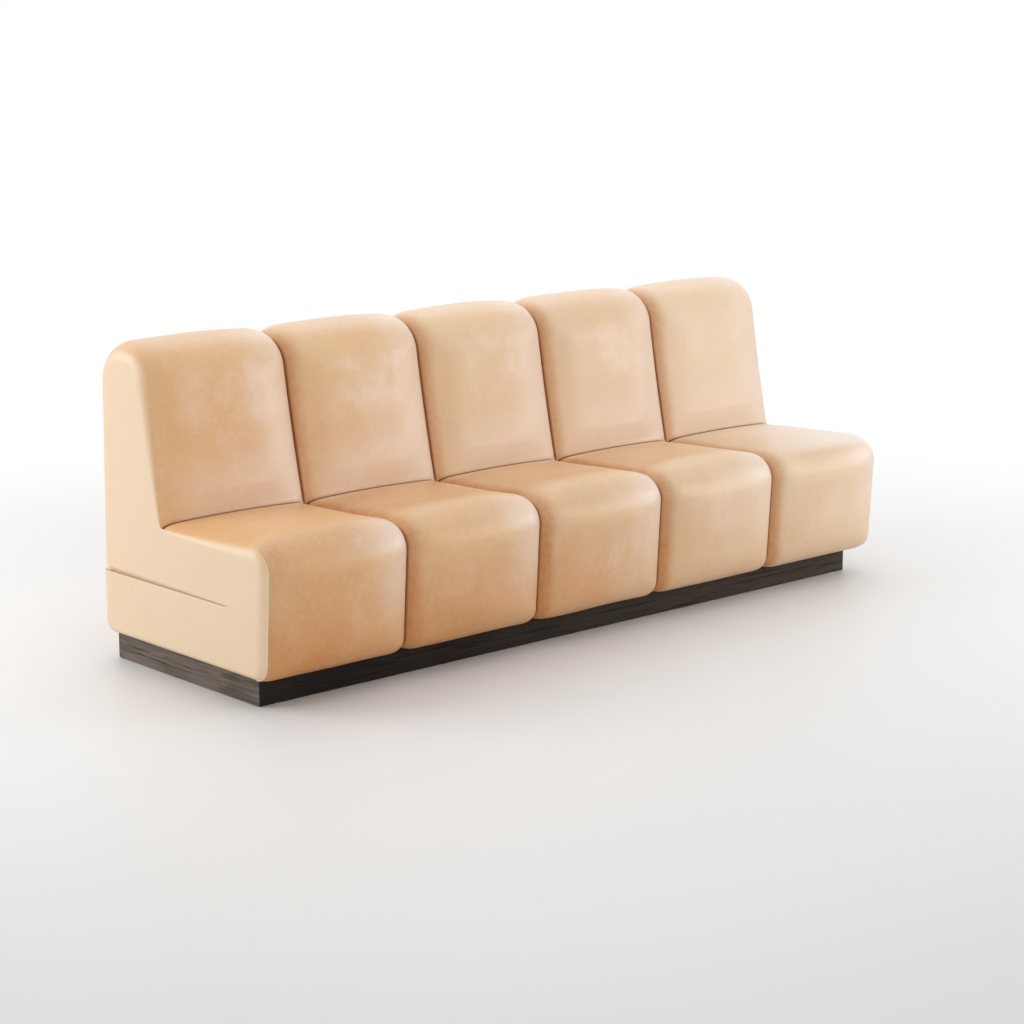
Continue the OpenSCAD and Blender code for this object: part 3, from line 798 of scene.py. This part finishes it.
def held_weights(shape, grid, stretch):
    """1 where the leather is sewn or stapled down, falling to 0 in the middle of a face."""
    held = 1 - loose(shape.half - np.abs(grid[..., 0]))
    fixed = np.isin(stretch, HELD) * 1.0
    for _ in range(5):
        fixed = np.maximum(fixed, 0.5 * (np.roll(fixed, 1) + np.roll(fixed, -1)))
    return np.maximum(held, fixed[None, :])


def ring_places(shape):
    """Places across half a seat: close together beside the seam."""
    seam = shape.form.seam_place
    beside = [seam + d for d in (-0.0055, -0.004, -0.003, -0.002, -0.001, 0, 0.001, 0.002, 0.003,
                                 0.004, 0.0055)]
    hole = shape.half - HOLE_X
    rest = [0, 0.0004, 0.0016, 0.0035, 0.006, 0.0085, 0.024, 0.028, 0.033, 0.039, 0.046, 0.054,
            0.0635, hole, 0.082, 0.093, 0.106, 0.12, 0.135, 0.151, 0.168, 0.186, 0.205, 0.227,
            shape.half]
    return sorted(beside + rest)


def fill_shift(shape, seed, grid, fine):
    """The move of the filled coarse grid, spread over a grid that is fine times as dense."""
    coarse, move = swollen(shape, seed, shape.form.swell)
    across = [-(shape.half - p) for p in coarse] + [shape.half - p for p in coarse[-2::-1]]
    last, count = len(across) - 1, move.shape[1]
    r = np.interp(grid[:, 0, 0], across, np.arange(last + 1))
    j = np.arange(grid.shape[1]) / fine
    r0, j0 = np.floor(r).astype(int), np.floor(j).astype(int)
    r1 = np.minimum(r0 + 1, last)
    tr, tj = (r - r0)[:, None, None], (j - j0)[None, :, None]
    a, b = move[r0][:, j0 % count], move[r0][:, (j0 + 1) % count]
    c, e = move[r1][:, j0 % count], move[r1][:, (j0 + 1) % count]
    shift = (a * (1 - tj) + b * tj) * (1 - tr) + (c * (1 - tj) + e * tj) * tr
    shift[..., 0] *= loose(shape.half - np.abs(grid[:, 0, 0]))[:, None]
    return shift


def seam_height(shape, grid, s, stretch):
    """How far the seam stands proud, with its stitches sunk beside it. It shows on the front,
    most of all at the two ends of the row."""
    form = shape.form
    arc_s = (s - form.seam_place) * 1.35
    ridge = form.seam_rise * np.exp(-((arc_s / form.seam_w) ** 4))
    stitch = 0.0012 * np.exp(-(((arc_s - 1.5 * form.seam_w) / 0.0016) ** 2))
    low = 1 - smooth((grid[..., 2] - 0.4) / 0.05)
    front = np.isin(stretch, ["toe", "front", "nose"])[None, :] * low
    outer = np.where(np.abs(shape.x + grid[..., 0]) > 1.1, 1.0, 0.15)
    return (ridge - stitch)[:, None] * front * outer


def cover_mesh(shape, seed, simulate):
    """The leather of one seat, filled by the simulation, or without it by an even rise."""
    fine = 3
    grid, stretch = shape.rings(ring_places(shape), fine)
    rings, n, _ = grid.shape
    s = shape.half - np.abs(grid[:, 0, 0])
    out = normals(grid)
    if simulate:
        grid = grid + fill_shift(shape, seed, grid, fine)
    else:
        grid = grid + out * (0.003 * smooth((s - 0.01) / 0.09))[:, None, None]
    grid = grid + out * seam_height(shape, grid, s, stretch)[..., None]
    verts = grid.reshape(-1, 3)
    bm = bmesh.new()
    made = [bm.verts.new(v) for v in verts]
    for f in grid_faces(rings, n):
        # The underside is open inside the leather that is turned under
        if stretch[f[0] % n] != "hole" or np.abs(verts[f][:, 0]).max() > HOLE_X + 1e-5:
            bm.faces.new([made[i] for i in f[::-1]])
    for end in (0, rings - 1):
        side_panel(bm, made[end * n : (end + 1) * n], shape, -1 if end == 0 else 1)
    lip = [e for e in bm.edges if e.is_boundary]
    turned = bmesh.ops.extrude_edge_only(bm, edges=lip)["geom"]
    turned = [v for v in turned if isinstance(v, bmesh.types.BMVert)]
    bmesh.ops.translate(bm, verts=turned, vec=(0, 0, shape.form.lip_t))
    bmesh.ops.delete(bm, geom=[v for v in bm.verts if not v.link_faces], context="VERTS")
    bmesh.ops.recalc_face_normals(bm, faces=bm.faces)
    bmesh.ops.translate(bm, verts=bm.verts, vec=(shape.x, 0, 0))
    mesh = bpy.data.meshes.new("cover")
    bm.to_mesh(mesh)
    bm.free()
    mesh.shade_smooth()
    return mesh


def side_panel(bm, rim, shape, side):
    """Fills the end of a cover and sinks the tuck's slit in it. rim is its outline, in order."""
    form = shape.form
    outline = np.array([[v.co.y, v.co.z] for v in rim])
    low, high = outline.min(0), outline.max(0)
    slit, start = form.tuck_h, high[0] - form.tuck_run
    rows = [slit + d for d in (-0.011, -0.007, -0.004, -0.0024, -0.0014, -0.0007, 0, 0.0007,
                               0.0015, 0.003, 0.005, 0.008, 0.013, 0.02)]
    zs = [z for z in np.arange(low[1] + 0.012, high[1], 0.018) if not slit - 0.02 < z < slit + 0.03]
    points = [(y, z) for z in rows for y in np.arange(low[0] + 0.006, high[0], 0.008)]
    points += [(y, z) for z in zs for y in np.arange(low[0] + 0.009, high[0], 0.018)]
    inside = [p for p in points if within(p, outline, 0.0035)]
    coords = [Vector(p) for p in outline] + [Vector(p) for p in inside]
    count = len(outline)
    result = geometry.delaunay_2d_cdt(coords, [], [list(range(count))], 1, 1e-7)
    verts, tris, origin = result[0], result[2], result[3]
    made = []
    for p, source in zip(verts, origin):
        first = [i for i in source if i < count]
        if first:
            made.append(rim[first[0]])
            continue
        y, z = p
        reach = np.clip((y - start) / form.tuck_run, 0, 1)
        depth = (0.002 + 0.007 * reach) * float(smooth((y - start) / 0.02))
        spread = 0.003 + 0.012 * reach if z >= slit else 0.002
        dip = 1 - float(smooth(abs(z - slit) / spread))
        made.append(bm.verts.new((side * (shape.half - depth * dip), y, z)))
    for tri in tris:
        corners = [made[i] for i in tri]
        if len(set(corners)) == 3:
            bm.faces.new(corners)


def within(p, outline, margin):
    """True if p lies inside the outline, and at least margin from it."""
    a, b = outline, np.roll(outline, -1, axis=0)
    y, z = p
    crosses = (a[:, 1] > z) != (b[:, 1] > z)
    with np.errstate(divide="ignore", invalid="ignore"):
        at = a[:, 0] + (z - a[:, 1]) * (b[:, 0] - a[:, 0]) / (b[:, 1] - a[:, 1])
    if np.count_nonzero(crosses & (y < at)) % 2 == 0:
        return False
    edge = b - a
    t = np.clip(((p - a) * edge).sum(1) / np.maximum((edge**2).sum(1), 1e-12), 0, 1)
    return np.linalg.norm(a + edge * t[:, None] - p, axis=1).min() > margin


# Pieces


def add(name, mesh, material):
    obj = bpy.data.objects.new(name, mesh)
    bpy.context.scene.collection.objects.link(obj)
    mesh.materials.clear()
    mesh.materials.append(material)
    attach(obj, "root")
    return obj


def paint(name, material):
    """Gives a node of the frame its finish."""
    node = NODES[name]
    node.data.materials.clear()
    node.data.materials.append(material)
    return node


def soften(obj, width, segments=2):
    bevel = obj.modifiers.new("Edges", "BEVEL")
    bevel.width, bevel.segments = width, segments
    bevel.limit_method, bevel.angle_limit = "ANGLE", math.radians(35)
    bevel.harden_normals = False


def sawn(obj):
    """Takes the sharp edges off a piece of sawn wood."""
    soften(obj, 0.0008, 1)


class BENCH_OT_covers(Operator):
    """Makes the five leather covers, filled so that they swell between their seams"""

    bl_idname = "bench.covers"
    bl_label = "Leather covers"

    def execute(self, context):
        shapes = [Shape(context.scene.bench_form, seat) for seat in SEATS]
        hide = leather(context.scene.bench_finish, shapes[0])
        for i, (seat, shape) in enumerate(zip(SEATS, shapes)):
            mesh = cover_mesh(shape, 11 + i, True)
            cover = add("leather_cover_" + seat, mesh, hide)
            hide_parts("cover_" + seat)
        return {"FINISHED"}


class BENCH_OT_foams(Operator):
    """Makes the foam of the seats, the backs and the rears"""

    bl_idname = "bench.foams"
    bl_label = "Foam"

    def execute(self, context):
        cellular = foam(context.scene.bench_finish)
        for seat in SEATS:
            for part in ("seat_foam_", "back_foam_", "rear_pad_"):
                mesh = NODES[part + seat].data.copy()
                self.settle(mesh, context.scene.bench_form)
                block = add("cut_" + part + seat, mesh, cellular)
                soften(block, 0.004)
                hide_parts(part + seat)
        return {"FINISHED"}

    def settle(self, mesh, form):
        """Lowers the top of the seat's foam to its slope, and the foot of the back's with it."""
        start = form.nose_r - form.body_d / 2
        backrest, behind_crease = 0.2, 0.1
        for vertex in mesh.vertices:
            y, z = vertex.co.y, vertex.co.z
            if 0.4 < z < form.seat_h and start < y < backrest:
                fall = (y - start) * math.tan(form.rake)
                vertex.co.z -= fall
                vertex.co.y -= fall * math.tan(form.recline) * (y > behind_crease)


class BENCH_OT_plinth(Operator):
    """Stains the oak plinth, and finishes the wood inside it"""

    bl_idname = "bench.plinth"
    bl_label = "Plinth"

    def execute(self, context):
        finish = context.scene.bench_finish
        # Painted light: the end boards show much more light grain than the front and rear, as a lit
        # end beside a shaded front
        lengthwise = stained_oak(finish, "oak_lengthwise", 0, 0.04)
        crosswise = stained_oak(finish, "oak_crosswise", 1, 0.9)
        for sides, material in ((("front", "rear"), lengthwise), (("left", "right"), crosswise)):
            for side in sides:
                soften(paint(f"plinth_{side}_board", material), 0.0012)
        hidden = ("cleats", "lengthwise"), ("ties", "crosswise"), ("corner_blocks", "upright")
        for axis, (piece, run) in enumerate(hidden):
            sawn(paint("plinth_" + piece, pale_wood(finish, "pine_" + run, axis)))
        return {"FINISHED"}


class BENCH_OT_frames(Operator):
    """Finishes the plywood, rails, rear panels and webbing inside the seats"""

    bl_idname = "bench.frames"
    bl_label = "Seat frames"

    def execute(self, context):
        finish = context.scene.bench_finish
        upright, flat = plywood(finish, "plywood_upright", 0), plywood(finish, "plywood_flat", 2)
        rails = pale_wood(finish, "pine_rails", 0)
        brown, belts = hardboard(finish), webbing(finish)
        for seat in SEATS:
            sawn(paint("side_frames_" + seat, upright))
            sawn(paint("base_board_" + seat, flat))
            sawn(paint("cross_rails_" + seat, rails))
            paint("rear_panels_" + seat, brown)
            paint("webbing_" + seat, belts)
        return {"FINISHED"}


class BENCH_OT_fittings(Operator):
    """Finishes the screws, bolts, washers, tee nuts and glides"""

    bl_idname = "bench.fittings"
    bl_label = "Fittings"

    def execute(self, context):
        plated = zinc()
        for name in ("plinth_screws", "seat_bolts", "washers", "tee_nuts"):
            paint(name, plated)
        paint("glides", glide_plastic(context.scene.bench_finish))
        return {"FINISHED"}


def lamp(name, watts, place, target, size, shade, spread):
    light = bpy.data.lights.new(name, "AREA")
    light.shape, light.size, light.size_y = "RECTANGLE", *size
    light.energy, light.color, light.spread = watts, shade, math.radians(spread)
    obj = bpy.data.objects.new(name, light)
    bpy.context.scene.collection.objects.link(obj)
    obj.location = place
    obj.visible_camera = False
    obj.rotation_euler = (Vector(target) - Vector(place)).to_track_quat("-Z", "Y").to_euler()


# Each lamp: its place, what it points at, its size, its colour and its spread in degrees
LAMPS = {
    "key": ((-3.6, 2.3, 1.9), (-0.6, 0, 0.4), (2.6, 2.4), (1, 1, 1), 180),
    "fill": ((2.8, -2.6, 1.45), (0.5, 0, 0.5), (2.4, 1.8), (1, 1, 1), 180),
    "left": ((-2.6, -3.2, 1.3), (-1.0, 0, 0.62), (1.6, 1.4), (1, 1, 1), 70),
    "overhead": ((0.4, -0.3, 4.6), (0.2, -0.3, 0), (6.0, 5.0), (0.97, 1.0, 1.03), 180),
    "rear": ((2.3, 2.6, 3.2), (2.3, 2.7, 0), (4.5, 4.0), (1, 1, 1), 180),
}


class BENCH_OT_stage(Operator):
    """Lays the floor, and sets up the lamps, the surround and the camera"""

    bl_idname = "bench.stage"
    bl_label = "Stage"

    def execute(self, context):
        stage, scene = context.scene.bench_stage, context.scene
        mesh = bpy.data.meshes.new("floor")
        far = 60
        corners = [(-far, -far, 0), (far, -far, 0), (far, far, 0), (-far, far, 0)]
        mesh.from_pydata(corners, [], [(0, 1, 2, 3)])
        floor = bpy.data.objects.new("floor", mesh)
        scene.collection.objects.link(floor)
        mesh.materials.append(self.floor(stage))
        self.surround(stage, scene)
        for name, values in LAMPS.items():
            lamp(name, getattr(stage, name), *values)
        self.camera(stage, scene)
        scene.view_settings.view_transform = "Standard"
        return {"FINISHED"}

    def floor(self, stage):
        """Pale floor that turns to plain white in the distance for the camera alone."""
        g = Graph("floor", **{"Specular IOR Level": 0.5})
        at = g.place()
        middle = (-0.7, -0.8, 0)
        away = g.node("VectorMath", {"operation": "DISTANCE"}, {0: at, 1: middle}, "Value")
        tone = g.noise(at, 0.6, 2.0)
        g.surface(Base_Color=g.mix(tone * 0.06, stage.floor, (1, 1, 1)), Roughness=0.45)
        path = g.node("LightPath", {}, {}, "Is Camera Ray")
        far = g.step(away, 2.0, 4.2) * path
        white = g.node("Emission", {}, {"Color": (1, 1, 1), "Strength": 1.0})
        shown = g.node("MixShader", {}, {0: far, 1: g.shader, 2: white})
        g.feed(g.output.inputs["Surface"], shown)
        return g.material

    def surround(self, stage, scene):
        """Even light all round, and plain white for the camera, gloss and glass."""
        world = bpy.data.worlds.new("surround")
        scene.world = world
        g = Nodes(world)
        camera = g.node("LightPath", {}, {}, "Is Camera Ray")
        rays = camera.socket.node.outputs
        clear = g.maths("MAXIMUM", camera, Wire(g, rays["Is Transmission Ray"]))
        white_rays = g.maths("MAXIMUM", clear, Wire(g, rays["Is Glossy Ray"]))
        soft = g.node("Background", {}, {"Color": (1.0, 0.99, 0.98), "Strength": stage.sky})
        white = g.node("Background", {}, {"Color": (1, 1, 1), "Strength": 1.0})
        shown = g.node("MixShader", {}, {0: white_rays, 1: soft, 2: white})
        g.node("OutputWorld", {}, {"Surface": shown})

    def camera(self, stage, scene):
        data = bpy.data.cameras.new("camera")
        data.sensor_width, data.lens = 36.0, stage.lens
        camera = bpy.data.objects.new("camera", data)
        scene.collection.objects.link(camera)
        turn, rise = stage.turn, stage.rise
        level = math.cos(rise)
        back = Vector((math.sin(turn) * level, -math.cos(turn) * level, math.sin(rise)))
        right = Vector((math.cos(turn), math.sin(turn), 0))
        axes = Matrix((right, back.cross(right), back)).transposed()
        camera.matrix_world = Matrix.LocRotScale(Vector(stage.view_from), axes, None)
        scene.camera = camera


class BENCH_PT_panel(Panel):
    """Sizes, colours and pieces of the bench"""

    bl_idname = "BENCH_PT_panel"
    bl_label = "Banquette bench"
    bl_space_type = "VIEW_3D"
    bl_region_type = "UI"
    bl_category = "Bench"

    def draw(self, context):
        scene = context.scene
        for group in (scene.bench_form, scene.bench_finish, scene.bench_stage):
            box = self.layout.box()
            for key in group.__annotations__:
                box.prop(group, key)
        for made in OPERATORS:
            self.layout.operator(made.bl_idname)


GROUPS = (BENCH_PG_form, BENCH_PG_finish, BENCH_PG_stage)
OPERATORS = (BENCH_OT_covers, BENCH_OT_foams, BENCH_OT_plinth, BENCH_OT_frames,
             BENCH_OT_fittings, BENCH_OT_stage)


def register():
    for made in (*GROUPS, *OPERATORS, BENCH_PT_panel):
        bpy.utils.register_class(made)
    bpy.types.Scene.bench_form = PointerProperty(type=BENCH_PG_form)
    bpy.types.Scene.bench_finish = PointerProperty(type=BENCH_PG_finish)
    bpy.types.Scene.bench_stage = PointerProperty(type=BENCH_PG_stage)


def unregister():
    del bpy.types.Scene.bench_form, bpy.types.Scene.bench_finish, bpy.types.Scene.bench_stage
    for made in reversed((*GROUPS, *OPERATORS, BENCH_PT_panel)):
        bpy.utils.unregister_class(made)


def main():
    register()
    bpy.ops.bench.covers()
    bpy.ops.bench.foams()
    bpy.ops.bench.plinth()
    bpy.ops.bench.frames()
    bpy.ops.bench.fittings()
    bpy.ops.bench.stage()


if __name__ == "__main__":
    main()
